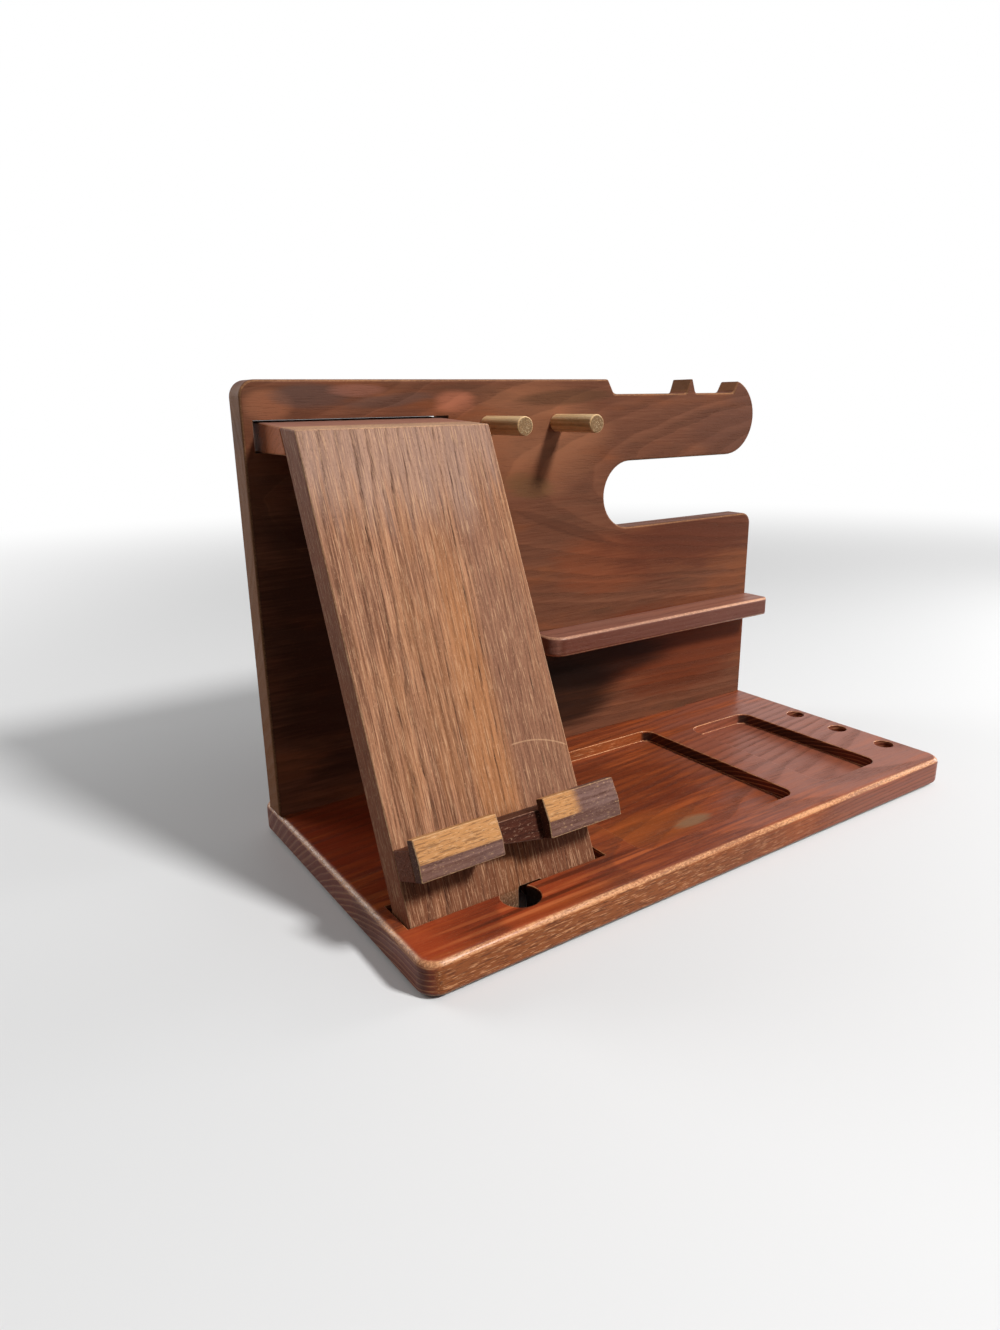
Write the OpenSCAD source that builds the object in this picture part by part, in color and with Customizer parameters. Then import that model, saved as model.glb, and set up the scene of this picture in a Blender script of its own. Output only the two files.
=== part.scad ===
// Desk valet organizer: a base board with two trays, an upright back panel with a watch slot,
// a leaning phone rest, a narrow shelf and two pegs.
// Millimetres, +X to the right, +Y to the back, +Z up, origin on the table under the base's centre.

/* [Boards] */
// Thickness of the base, the back panel and the phone plate
board_t = 13; // [11:0.5:16]
// Gap left all round where one piece goes into another
joint_gap = 0.15; // [0.05:0.05:0.3]

/* [Base board] */
// Width of the base
base_w = 289; // [270:1:360]
// Depth of the base, front to back
base_d = 150; // [145:1:200]
// Radius of the base's corners, seen from above
base_corner_r = 7.5; // [5:0.5:12]
// Round-over along the base's top edge
base_round_r = 3; // [1.5:0.5:4]
// Round-over along the base's bottom edge
base_arris_r = 2; // [0.5:0.25:3]

/* [Trays] */
// Depth of both trays
tray_depth = 5.5; // [3:0.5:8]
// Radius of the trays' corners
tray_corner_r = 6; // [3:0.5:10]
// Border between the trays and the base's front edge
tray_front_border = 15.5; // [10:0.5:25]
// Left edge of the left tray, from the base's left edge
tray_left_x = 106; // [100:1:130]
// Length of the left tray, front to back
tray_left_len = 95.5; // [60:0.5:97]
// Width of the right tray
tray_right_w = 42; // [25:1:55]
// Length of the right tray, front to back
tray_right_len = 83.5; // [60:0.5:97]
// Width of the wall between the trays
tray_divider_w = 19; // [8:1:25]
// Width of the strip to the right of the trays
tray_right_border = 31; // [20:1:40]

/* [Row of small holes] */
// Diameter of the small blind holes
pen_hole_d = 9; // [6:0.5:11]
// Depth of the small blind holes
pen_hole_depth = 8; // [5:0.5:9]
// Distance from the base's right edge to the row
pen_hole_edge = 9.5; // [8:0.5:14]
// Distance from the base's front edge to the first hole
pen_hole_front = 26.5; // [20:0.5:35]
// Distance between the holes
pen_hole_pitch = 27; // [20:0.5:30]

/* [Back panel] */
// Height of the panel above the base
panel_rise = 178; // [176:0.5:220]
// Strip of the base left free behind the panel
panel_back_border = 10; // [5:1:20]
// How far the panel's right edge stays inside the base's
panel_right_inset = 2.5; // [0:0.5:8]
// Radius of the panel's top left corner
panel_corner_r = 6.5; // [2:0.5:15]
// Radius of the corner under the watch slot's mouth
panel_step_r = 6; // [2:0.5:10]

/* [Watch slot] */
// Height of the slot
watch_slot_h = 33; // [20:1:40]
// Length of the slot, from the panel's right edge to its round end
watch_slot_len = 108.5; // [70:0.5:115]
// Height of the arm over the slot
watch_arm_h = 38.7; // [30:0.1:44]
// How far the arm's round end stays inside the panel's right edge
watch_arm_inset = 3; // [0:0.5:8]

/* [Notches in the top edge] */
// Depth of both notches
notch_depth = 6.8; // [4:0.2:10]
// How much the outer side of each notch leans
notch_lean_w = 4; // [0:0.5:6]
// How much each side of the tooth between the notches leans
notch_tooth_lean_w = 2.4; // [0:0.2:3]
// Width of the wide notch, along the top edge
notch_wide_w = 55; // [40:1:58]
// Width of the narrow notch, along the top edge
notch_narrow_w = 35; // [30:1:40]
// Width of the tooth between the notches, along the top edge
notch_tooth_w = 1.2; // [1:0.2:6]
// Distance from the panel's right edge to the narrow notch
notch_edge = 16; // [14:1:24]

/* [Phone rest] */
// Width of the leaning plate
plate_w = 80.5; // [70:0.5:88]
// Left edge of the plate, from the base's left edge
plate_x = 6.8; // [4:0.2:9]
// How far the plate leans back, in degrees
plate_lean = 23.4; // [18:0.1:26]
// Height of the plate's front top edge above the base
plate_rise = 160.3; // [140:0.1:163]
// How far the plate's top end and the block behind it fall to the front, in degrees
head_slope = 3.2; // [0:0.1:6]
// Front of the plate's foot, from the base's front edge
plate_foot_front = 22.3; // [20:0.1:26]
// How deep the foot goes into the base
plate_foot_len = 12; // [8:0.5:12.5]
// Left edge of the cable notch in the foot, from the plate's left edge
foot_notch_x = 44.5; // [35:0.5:48]
// Width of the cable notch in the foot
foot_notch_w = 10; // [6:0.5:14]
// Free length of the base's slot to the right of the foot
slot_right_spare = 4.8; // [1:0.1:8]
// Free depth of the base's slot behind the foot
slot_back_spare = 3; // [0.5:0.5:5]
// Free length of the base's slot to the left of the foot
slot_left_spare = 0.9; // [0.3:0.1:2]
// Thickness of the block behind the plate's top end, where it meets the plate
head_t = 10; // [9:0.5:14]
// Free height over the block's back end in the panel's mortise
head_mortise_spare = 0.2; // [0.1:0.05:1]
// Free width on each side of the block in that mortise
head_mortise_side = 2.5; // [0.5:0.1:3]

/* [Cable hole] */
// Diameter of the cable hole in the base
cable_hole_d = 15; // [10:0.5:18]
// Centre of the cable hole, from the plate's left edge
cable_hole_x = 41.8; // [30:0.1:50]
// Centre of the cable hole, in front of the foot
cable_hole_front = 4.8; // [3:0.1:8]

/* [Ledge] */
// Height of the ledge's underside above the base, along the plate
ledge_height = 15.8; // [12:0.1:25]
// Thickness of the ledge bar
ledge_bar_t = 10.7; // [9:0.1:14]
// Depth of the channel in which a phone stands
ledge_channel = 12.8; // [10:0.1:16]
// How far the ledge runs past the plate's right edge
ledge_overhang = 3.8; // [0:0.1:8]
// How far the lips stand above the bar
lip_rise = 3.7; // [3:0.1:10]
// Thickness of the lips at their top edge
lip_top_t = 4.5; // [2:0.1:5]
// Thickness of the lips at the crease in their front
lip_crease_t = 5.6; // [5.2:0.1:8]
// Thickness of the lips at their bottom edge
lip_foot_t = 4.7; // [4:0.1:5.6]
// Height of the crease above the lips' bottom edge
lip_crease_rise = 6.1; // [4:0.1:9]
// Length of the left lip
lip_left_len = 32.5; // [20:0.5:36]
// Gap between the lips for the charging cable
lip_gap = 19.5; // [12:0.5:25]
// How far the bar's underside rises to the left in that gap, to clear the cable
cable_relief = 3.2; // [1:0.1:5]

/* [Shelf] */
// Length of the shelf, from the panel's right edge to its left end
shelf_len = 151.5; // [100:0.5:160]
// Depth of the shelf
shelf_d = 16; // [13:0.5:40]
// Thickness of the shelf
shelf_t = 10; // [9:0.5:13]
// Height of the shelf's top above the base
shelf_rise = 60; // [40:0.5:85]
// Radius of the shelf's free front corner, seen from above
shelf_corner_r = 8; // [4:0.5:11]
// Radius of the shelf's other front corner
shelf_end_r = 2; // [1:0.5:6]
// Round-over along the shelf's front edges
shelf_round_r = 2; // [0.5:0.5:3.5]

/* [Pegs] */
// Diameter of the pegs
peg_d = 8; // [6:0.5:10]
// Length of a peg in front of the panel
peg_out = 29; // [20:0.5:40]
// Depth of a peg's hole in the panel
peg_in = 10; // [6:0.5:10.5]
// Height of the pegs' axes above the base
peg_rise = 158.7; // [152:0.1:165]
// Axis of the left peg, from the base's left edge
peg_left_x = 109.6; // [100:0.1:112]
// Distance between the pegs' axes
peg_pitch = 38.5; // [25:0.5:50]
// Radius of the pegs' rounded front rim
peg_rim_r = 0.8; // [0.2:0.1:1.5]
// Radius of the pegs' rounded shoulder, where they meet the panel
peg_shoulder_r = 0.4; // [0.2:0.1:0.8]
// Diameter of the pegs' thinner end in the panel
peg_tenon_d = 6; // [4:0.5:9]
// Free space round a peg's thinner end in its hole, on each side
peg_gap = 0.05; // [0.03:0.01:0.09]

/* [Dowels and tenons] */
// Diameter of the hidden dowels
dowel_d = 6; // [4:0.5:6.5]
// Length of a dowel in the piece that it carries
dowel_reach = 8; // [6:0.5:9]
// Length of a dowel in the board that holds it
dowel_seat = 8; // [6:0.5:9]
// Width of each of the panel's two tenons
tenon_w = 40; // [25:1:50]
// How far each tenon stays inside the panel's end
tenon_end = 45; // [30:1:60]
// How far the tenons' ends stay above the base's underside
tenon_recess = 0.5; // [0.2:0.1:1]

/* [Felt pads] */
// Diameter of a felt pad
pad_d = 12; // [8:1:14]
// Thickness of a felt pad
pad_t = 1; // [0.6:0.1:3]
// Distance from the base's edges to a pad's centre
pad_edge = 12; // [10:1:13]

/* [Hidden] */
$fn = 96;
// Overrun of every cut past the face that it opens
over = 1;

// Levels and planes
base_top = pad_t + board_t;
panel_w = base_w - panel_right_inset;
panel_front = base_d - panel_back_border - board_t;
panel_back = panel_front + board_t;

// Plate, head block and slot, in the side view
plate_slant_t = board_t / cos(plate_lean);
plate_run = plate_rise * tan(plate_lean);
foot_back = plate_foot_front + plate_slant_t;
slot_x = plate_x - slot_left_spare;
slot_w = slot_left_spare + plate_w + slot_right_spare;
slot_d = plate_slant_t + slot_back_spare;
plate_back_rise = (plate_rise + (plate_slant_t - plate_run) * tan(head_slope))
    / (1 - tan(plate_lean) * tan(head_slope));
plate_back_y = foot_back + plate_back_rise * tan(plate_lean);
head_rise = plate_back_rise - head_t;
head_back = panel_back - tenon_recess;
head_back_rise = plate_back_rise + (head_back - plate_back_y) * tan(head_slope);
head_axis_rise = (head_rise + plate_rise) / 2;

// Ledge and lips, along the plate
ledge_w = plate_w + ledge_overhang;
ledge_axis = ledge_height + ledge_bar_t / 2;
lip_h = ledge_bar_t + lip_rise;
lip_right_len = ledge_w - lip_left_len - lip_gap;

// Trays and the row of holes
tray_right_x = base_w - tray_right_border - tray_right_w;
tray_left_w = tray_right_x - tray_divider_w - tray_left_x;

// Watch slot, arm and notches, measured from the base's top
watch_slot_top = panel_rise - watch_arm_h;
watch_slot_bottom = watch_slot_top - watch_slot_h;
watch_slot_r = watch_slot_h / 2;
watch_slot_x = panel_w - watch_slot_len + watch_slot_r;
watch_arm_r = watch_arm_h / 2;
watch_arm_x = panel_w - watch_arm_inset - watch_arm_r;
notch_narrow_x = panel_w - notch_edge - notch_narrow_w;
notch_wide_x = notch_narrow_x - notch_tooth_w - notch_wide_w;

// Places along pieces, as shares of their lengths
head_dowel_shares = [0.25, 0.75];
ledge_dowel_shares = [0.22, 0.78];
shelf_dowel_shares = [0.12, 0.5, 0.88];

shelf_x = panel_w - shelf_len;
dowel_rim_r = dowel_d / 12;
tenon_len = board_t - tenon_recess;

// Puts the base's front left corner so that the origin lies under the base's centre
module placed() {
    translate([-base_w / 2, -base_d / 2, 0]) children();
}

// Turns a profile drawn as depth and height into a bar that runs to the right
module bar_along_x(length) {
    rotate([90, 0, 90]) linear_extrude(length) children();
}

// Round pin or hole that runs to the back from the plane y = 0
module rod_along_y(d, length) {
    rotate([-90, 0, 0]) cylinder(d = d, h = length);
}

// Frame of the plate's front face: y = 0 is the face, z runs up along it
module on_plate() {
    translate([plate_x, plate_foot_front, base_top]) rotate([-plate_lean, 0, 0]) children();
}

// What is left of a square when its corner is rounded, to be cut away
module corner_trim(r) {
    difference() {
        square(r + over);
        circle(r);
    }
}

// Section through a board's edge, with its outer face at x = reach
module edge_section(reach, t, top_r, bottom_r) {
    difference() {
        square([reach, t]);
        translate([reach - top_r, t - top_r]) corner_trim(top_r);
        translate([reach - bottom_r, bottom_r]) mirror([0, 1]) corner_trim(bottom_r);
    }
}

// One edge of a board that starts at x = 0 and whose outer face looks to the front
module edge_bar(length, reach, t, top_r, bottom_r) {
    translate([0, reach, 0]) rotate([90, 0, 90]) linear_extrude(length)
        mirror([1, 0]) edge_section(reach, t, top_r, bottom_r);
}

// One corner of a board: the front left quarter turn round z
module edge_corner(r, t, top_r, bottom_r) {
    translate([r, r, 0]) rotate([0, 0, 180]) rotate_extrude(angle = 90)
        edge_section(r, t, top_r, bottom_r);
}

// Board with rounded corners and rounded edges all round
module soft_board(w, d, t, r, top_r, bottom_r) {
    translate([r, r, 0]) cube([w - 2 * r, d - 2 * r, t]);
    for (turn = [0, 1])
        translate([w / 2, d / 2, 0]) rotate([0, 0, 180 * turn]) translate([-w / 2, -d / 2, 0]) {
            translate([r, 0, 0]) edge_bar(w - 2 * r, r, t, top_r, bottom_r);
            translate([0, d - r, 0]) rotate([0, 0, -90]) edge_bar(d - 2 * r, r, t, top_r, bottom_r);
            edge_corner(r, t, top_r, bottom_r);
            translate([0, d, 0]) rotate([0, 0, -90]) edge_corner(r, t, top_r, bottom_r);
        }
}

// Routed tray with round corners, open at the top
module tray_cut(w, len) {
    translate([0, 0, base_top - tray_depth]) linear_extrude(tray_depth + over) {
        translate([tray_corner_r, 0]) square([w - 2 * tray_corner_r, len]);
        translate([0, tray_corner_r]) square([w, len - 2 * tray_corner_r]);
        for (x = [tray_corner_r, w - tray_corner_r], y = [tray_corner_r, len - tray_corner_r])
            translate([x, y]) circle(tray_corner_r);
    }
}

// Left ends of the panel's tenons
function tenon_xs() = [tenon_end, panel_w - tenon_end - tenon_w];

module base_board() color([0.42, 0.18, 0.09]) placed() {
    difference() {
        translate([0, 0, pad_t]) soft_board(base_w, base_d, board_t, base_corner_r, base_round_r, base_arris_r);
        translate([tray_left_x, tray_front_border, 0]) tray_cut(tray_left_w, tray_left_len);
        translate([tray_right_x, tray_front_border, 0]) tray_cut(tray_right_w, tray_right_len);
        // Slot for the phone rest's foot
        translate([slot_x, plate_foot_front, pad_t - over]) cube([slot_w, slot_d, board_t + 2 * over]);
        // Cable hole that breaks into the slot
        translate([plate_x + cable_hole_x, plate_foot_front - cable_hole_front, pad_t - over])
            cylinder(d = cable_hole_d, h = board_t + 2 * over);
        // Mortises for the panel's tenons
        for (x = tenon_xs()) translate([x - joint_gap, panel_front - joint_gap, pad_t - over])
            cube([tenon_w + 2 * joint_gap, board_t + 2 * joint_gap, board_t + 2 * over]);
        // Row of small blind holes
        for (i = [0:2]) translate([base_w - pen_hole_edge, pen_hole_front + i * pen_hole_pitch,
            base_top - pen_hole_depth]) cylinder(d = pen_hole_d, h = pen_hole_depth + over);
    }
}

// Notch with leaning sides in the panel's top edge, from its left top corner
module notch_cut(w, left_lean, right_lean) {
    over_share = over / notch_depth;
    polygon([[-left_lean * over_share, over], [left_lean, -notch_depth], [w - right_lean, -notch_depth],
        [w + right_lean * over_share, over]]);
}

// Outline of the panel above the base, seen from the front
module panel_outline() {
    difference() {
        union() {
            square([panel_w, watch_slot_bottom]);
            square([watch_slot_x, panel_rise]);
            translate([watch_slot_x, watch_slot_top]) square([watch_arm_x - watch_slot_x, watch_arm_h]);
            translate([watch_arm_x, panel_rise - watch_arm_r]) circle(watch_arm_r);
        }
        translate([watch_slot_x, watch_slot_bottom + watch_slot_r]) circle(watch_slot_r);
        translate([panel_corner_r, panel_rise - panel_corner_r]) mirror([1, 0]) corner_trim(panel_corner_r);
        translate([panel_w - panel_step_r, watch_slot_bottom - panel_step_r]) corner_trim(panel_step_r);
        translate([notch_wide_x, panel_rise]) notch_cut(notch_wide_w, notch_lean_w, notch_tooth_lean_w);
        translate([notch_narrow_x, panel_rise])
            notch_cut(notch_narrow_w, notch_tooth_lean_w, notch_lean_w);
    }
}

module back_panel() color([0.36, 0.16, 0.09]) placed() translate([0, panel_back, base_top]) {
    difference() {
        rotate([90, 0, 0]) linear_extrude(board_t) {
            panel_outline();
            for (x = tenon_xs()) translate([x, -tenon_len]) square([tenon_w, tenon_len]);
        }
        // Mortise for the phone rest's head
        translate([plate_x - head_mortise_side, -board_t - over, head_rise])
            cube([plate_w + 2 * head_mortise_side, board_t + 2 * over,
                head_back_rise - head_rise + head_mortise_spare]);
        // Blind holes for the pegs
        for (i = [0, 1]) translate([peg_left_x + i * peg_pitch, -board_t - over, peg_rise])
            rod_along_y(peg_tenon_d + 2 * peg_gap, peg_in + over);
        // Blind holes for the shelf's dowels
        for (share = shelf_dowel_shares)
            translate([shelf_x + share * shelf_len, -board_t - over, shelf_rise - shelf_t / 2])
                rod_along_y(dowel_d + 2 * joint_gap, dowel_seat + joint_gap + over);
    }
}

// Side view of the plate: it leans back, with its top end nearly level and its foot upright
module plate_section() {
    polygon([[plate_foot_front, -plate_foot_len], [foot_back, -plate_foot_len], [foot_back, 0],
        [plate_back_y, plate_back_rise], [plate_foot_front + plate_run, plate_rise],
        [plate_foot_front, 0]]);
}

module phone_plate() color([0.60, 0.38, 0.27]) placed() {
    difference() {
        translate([plate_x, 0, base_top]) bar_along_x(plate_w) plate_section();
        // Cable notch between the foot's two tenons
        translate([plate_x + foot_notch_x, plate_foot_front - over, base_top - plate_foot_len - over])
            cube([foot_notch_w, slot_d + over, plate_foot_len + over]);
        for (share = head_dowel_shares) head_dowel_at(share) dowel_hole();
        for (share = ledge_dowel_shares) ledge_dowel_at(share) dowel_hole();
    }
}

// Side view of the head block: its front follows the plate's back
module head_section() {
    low_front = foot_back + head_rise * tan(plate_lean);
    polygon([[low_front, head_rise], [head_back, head_rise], [head_back, head_back_rise],
        [plate_back_y, plate_back_rise]]);
}

module head_block() color([0.38, 0.19, 0.12]) placed() {
    difference() {
        translate([plate_x, 0, base_top]) bar_along_x(plate_w) head_section();
        for (share = head_dowel_shares) head_dowel_at(share) dowel_hole();
    }
}

module ledge_bar() color([0.24, 0.12, 0.08]) placed() {
    difference() {
        on_plate() translate([0, -ledge_channel, ledge_height]) cube([ledge_w, ledge_channel, ledge_bar_t]);
        // Slanted relief for the cable in the underside, between the lips
        on_plate() translate([lip_left_len, over, ledge_height]) rotate([90, 0, 0])
            linear_extrude(ledge_channel + 2 * over)
                polygon([[0, -over], [lip_gap, -over], [lip_gap, 0], [0, cable_relief]]);
        for (share = ledge_dowel_shares) ledge_dowel_at(share) dowel_hole();
    }
}

// Section of a lip: flat back, thin top edge, crease and slightly drawn-in foot
module lip_section() {
    polygon([[0, 0], [0, lip_h], [-lip_top_t, lip_h], [-lip_crease_t, lip_crease_rise], [-lip_foot_t, 0]]);
}

// Lip of the given length, from the given distance along the ledge
module lip(x, length) color([0.52, 0.33, 0.20]) placed() {
    on_plate() translate([x, -ledge_channel, ledge_height]) bar_along_x(length) lip_section();
}

module lip_left() lip(0, lip_left_len);
module lip_right() lip(lip_left_len + lip_gap, lip_right_len);

module shelf() color([0.36, 0.17, 0.10]) placed() {
    r = shelf_corner_r;
    difference() {
        translate([shelf_x, panel_front - shelf_d, base_top + shelf_rise - shelf_t]) {
            translate([r, r, 0]) cube([shelf_len - r, shelf_d - r, shelf_t]);
            translate([r, 0, 0]) edge_bar(shelf_len - r, r, shelf_t, shelf_round_r, shelf_round_r);
            edge_corner(r, shelf_t, shelf_round_r, shelf_round_r);
            translate([0, shelf_d, 0]) rotate([0, 0, -90])
                edge_bar(shelf_d - r, r, shelf_t, shelf_round_r, shelf_round_r);
        }
        translate([panel_w - shelf_end_r, panel_front - shelf_d + shelf_end_r,
            base_top + shelf_rise - shelf_t - over]) linear_extrude(shelf_t + 2 * over)
            mirror([0, 1]) corner_trim(shelf_end_r);
        for (share = shelf_dowel_shares) shelf_dowel_at(share) dowel_hole();
    }
}

// Places of the hidden dowels: z = 0 is the joint's face, the board that holds them lies on the +z side
module head_dowel_at(share) {
    y = foot_back + head_axis_rise * tan(plate_lean);
    translate([plate_x + share * plate_w, y, base_top + head_axis_rise]) rotate([90, 0, 0]) children();
}

module ledge_dowel_at(share) {
    on_plate() translate([share * plate_w, 0, ledge_axis]) rotate([-90, 0, 0]) children();
}

module shelf_dowel_at(share) {
    translate([shelf_x + share * shelf_len, panel_front, base_top + shelf_rise - shelf_t / 2])
        rotate([-90, 0, 0]) children();
}

// Dowel with softened ends across a joint's face
module dowel() color([0.72, 0.56, 0.36]) {
    length = dowel_reach + dowel_seat;
    translate([0, 0, -dowel_reach]) rotate_extrude() difference() {
        square([dowel_d / 2, length]);
        translate([dowel_d / 2 - dowel_rim_r, length - dowel_rim_r]) corner_trim(dowel_rim_r);
        translate([dowel_d / 2 - dowel_rim_r, dowel_rim_r]) mirror([0, 1]) corner_trim(dowel_rim_r);
    }
}

// Hole for a dowel, with a little room round it and at its ends
module dowel_hole() {
    translate([0, 0, -dowel_reach - joint_gap])
        cylinder(d = dowel_d + 2 * joint_gap, h = dowel_reach + dowel_seat + 2 * joint_gap);
}

module head_dowel_left() placed() head_dowel_at(head_dowel_shares[0]) dowel();
module head_dowel_right() placed() head_dowel_at(head_dowel_shares[1]) dowel();
module ledge_dowel_left() placed() ledge_dowel_at(ledge_dowel_shares[0]) dowel();
module ledge_dowel_right() placed() ledge_dowel_at(ledge_dowel_shares[1]) dowel();
module shelf_dowel_left() placed() shelf_dowel_at(shelf_dowel_shares[0]) dowel();
module shelf_dowel_middle() placed() shelf_dowel_at(shelf_dowel_shares[1]) dowel();
module shelf_dowel_right() placed() shelf_dowel_at(shelf_dowel_shares[2]) dowel();

// Peg with a rounded front rim and a rounded shoulder, whose thinner end goes into the panel
module peg(x) color([0.66, 0.54, 0.32]) placed() {
    translate([x, panel_front - peg_out, base_top + peg_rise]) rotate([-90, 0, 0]) rotate_extrude() {
        difference() {
            square([peg_d / 2, peg_out]);
            translate([peg_d / 2 - peg_rim_r, peg_rim_r]) mirror([0, 1]) corner_trim(peg_rim_r);
            translate([peg_d / 2 - peg_shoulder_r, peg_out - peg_shoulder_r]) corner_trim(peg_shoulder_r);
        }
        square([peg_tenon_d / 2, peg_out + peg_in - joint_gap]);
    }
}

module peg_left() peg(peg_left_x);
module peg_right() peg(peg_left_x + peg_pitch);

// Felt pad under one of the base's corners, to the right or left and at the back or front
module foot_pad(right, back) color([0.16, 0.13, 0.12]) placed() {
    translate([right ? base_w - pad_edge : pad_edge, back ? base_d - pad_edge : pad_edge, 0])
        cylinder(d = pad_d, h = pad_t);
}

module foot_pad_front_left() foot_pad(false, false);
module foot_pad_front_right() foot_pad(true, false);
module foot_pad_back_left() foot_pad(false, true);
module foot_pad_back_right() foot_pad(true, true);

base_board();
back_panel();
phone_plate();
head_block();
ledge_bar();
lip_left();
lip_right();
shelf();
peg_left();
peg_right();
head_dowel_left();
head_dowel_right();
ledge_dowel_left();
ledge_dowel_right();
shelf_dowel_left();
shelf_dowel_middle();
shelf_dowel_right();
foot_pad_front_left();
foot_pad_front_right();
foot_pad_back_left();
foot_pad_back_right();
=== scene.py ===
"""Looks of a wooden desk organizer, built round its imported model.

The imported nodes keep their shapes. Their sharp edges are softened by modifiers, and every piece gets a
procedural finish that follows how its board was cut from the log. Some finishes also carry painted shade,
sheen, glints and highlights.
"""
import logging
import math
from abc import ABC, abstractmethod
from dataclasses import dataclass, field
from enum import Enum
from typing import Any, Callable

import bmesh
import bpy
from mathutils import Matrix, Vector


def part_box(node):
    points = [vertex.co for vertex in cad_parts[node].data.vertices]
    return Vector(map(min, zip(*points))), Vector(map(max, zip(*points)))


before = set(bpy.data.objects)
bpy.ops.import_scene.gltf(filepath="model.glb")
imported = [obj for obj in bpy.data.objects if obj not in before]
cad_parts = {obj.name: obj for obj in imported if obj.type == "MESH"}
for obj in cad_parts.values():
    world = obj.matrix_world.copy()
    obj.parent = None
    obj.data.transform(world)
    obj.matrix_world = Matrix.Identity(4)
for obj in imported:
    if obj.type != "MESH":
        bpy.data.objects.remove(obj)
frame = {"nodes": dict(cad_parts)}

LOG = logging.getLogger("desk_organizer")
MM = 0.001
PORE_DEPTH = 0.12 * MM
PORE_STRENGTH = 0.55
WELD_REACH = 0.002 * MM
SAME_PLACE = 0.01 * MM
Triple = tuple[float, float, float]
Colour = tuple[float, float, float, float]
Nodes = dict[str, bpy.types.Object]
WHITE: Colour = (1.0, 1.0, 1.0, 1.0)


def linear(red: int, green: int, blue: int) -> Colour:
    """Turn a colour as it is seen, 0 to 255, into the linear colour that a shader takes.

    Args:
        red: Red, 0 to 255.
        green: Green, 0 to 255.
        blue: Blue, 0 to 255.

    Returns:
        The linear colour with an alpha of 1.
    """
    def channel(value: int) -> float:
        """Turn one channel."""
        share = value / 255
        return share / 12.92 if share <= 0.04045 else ((share + 0.055) / 1.055) ** 2.4

    return channel(red), channel(green), channel(blue), 1.0


class Wire:
    """An output socket; arithmetic on it adds Math or Vector Math nodes to its tree."""

    def __init__(self, graph: "Graph", socket: bpy.types.NodeSocket) -> None:
        """Wrap a socket of a graph."""
        self.graph = graph
        self.socket = socket

    def __add__(self, other: "Value") -> "Wire":
        """Add."""
        return self.graph.maths("ADD", self, other)

    def __radd__(self, other: "Value") -> "Wire":
        """Add, reflected."""
        return self.graph.maths("ADD", other, self)

    def __sub__(self, other: "Value") -> "Wire":
        """Subtract."""
        return self.graph.maths("SUBTRACT", self, other)

    def __rsub__(self, other: "Value") -> "Wire":
        """Subtract, reflected."""
        return self.graph.maths("SUBTRACT", other, self)

    def __mul__(self, other: "Value") -> "Wire":
        """Multiply."""
        return self.graph.maths("MULTIPLY", self, other)

    def __rmul__(self, other: "Value") -> "Wire":
        """Multiply, reflected."""
        return self.graph.maths("MULTIPLY", other, self)

    def __truediv__(self, other: "Value") -> "Wire":
        """Divide."""
        return self.graph.maths("DIVIDE", self, other)

    def __pow__(self, other: "Value") -> "Wire":
        """Raise to a power."""
        return self.graph.maths("POWER", self, other)


Value = Wire | float | int | tuple


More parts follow.
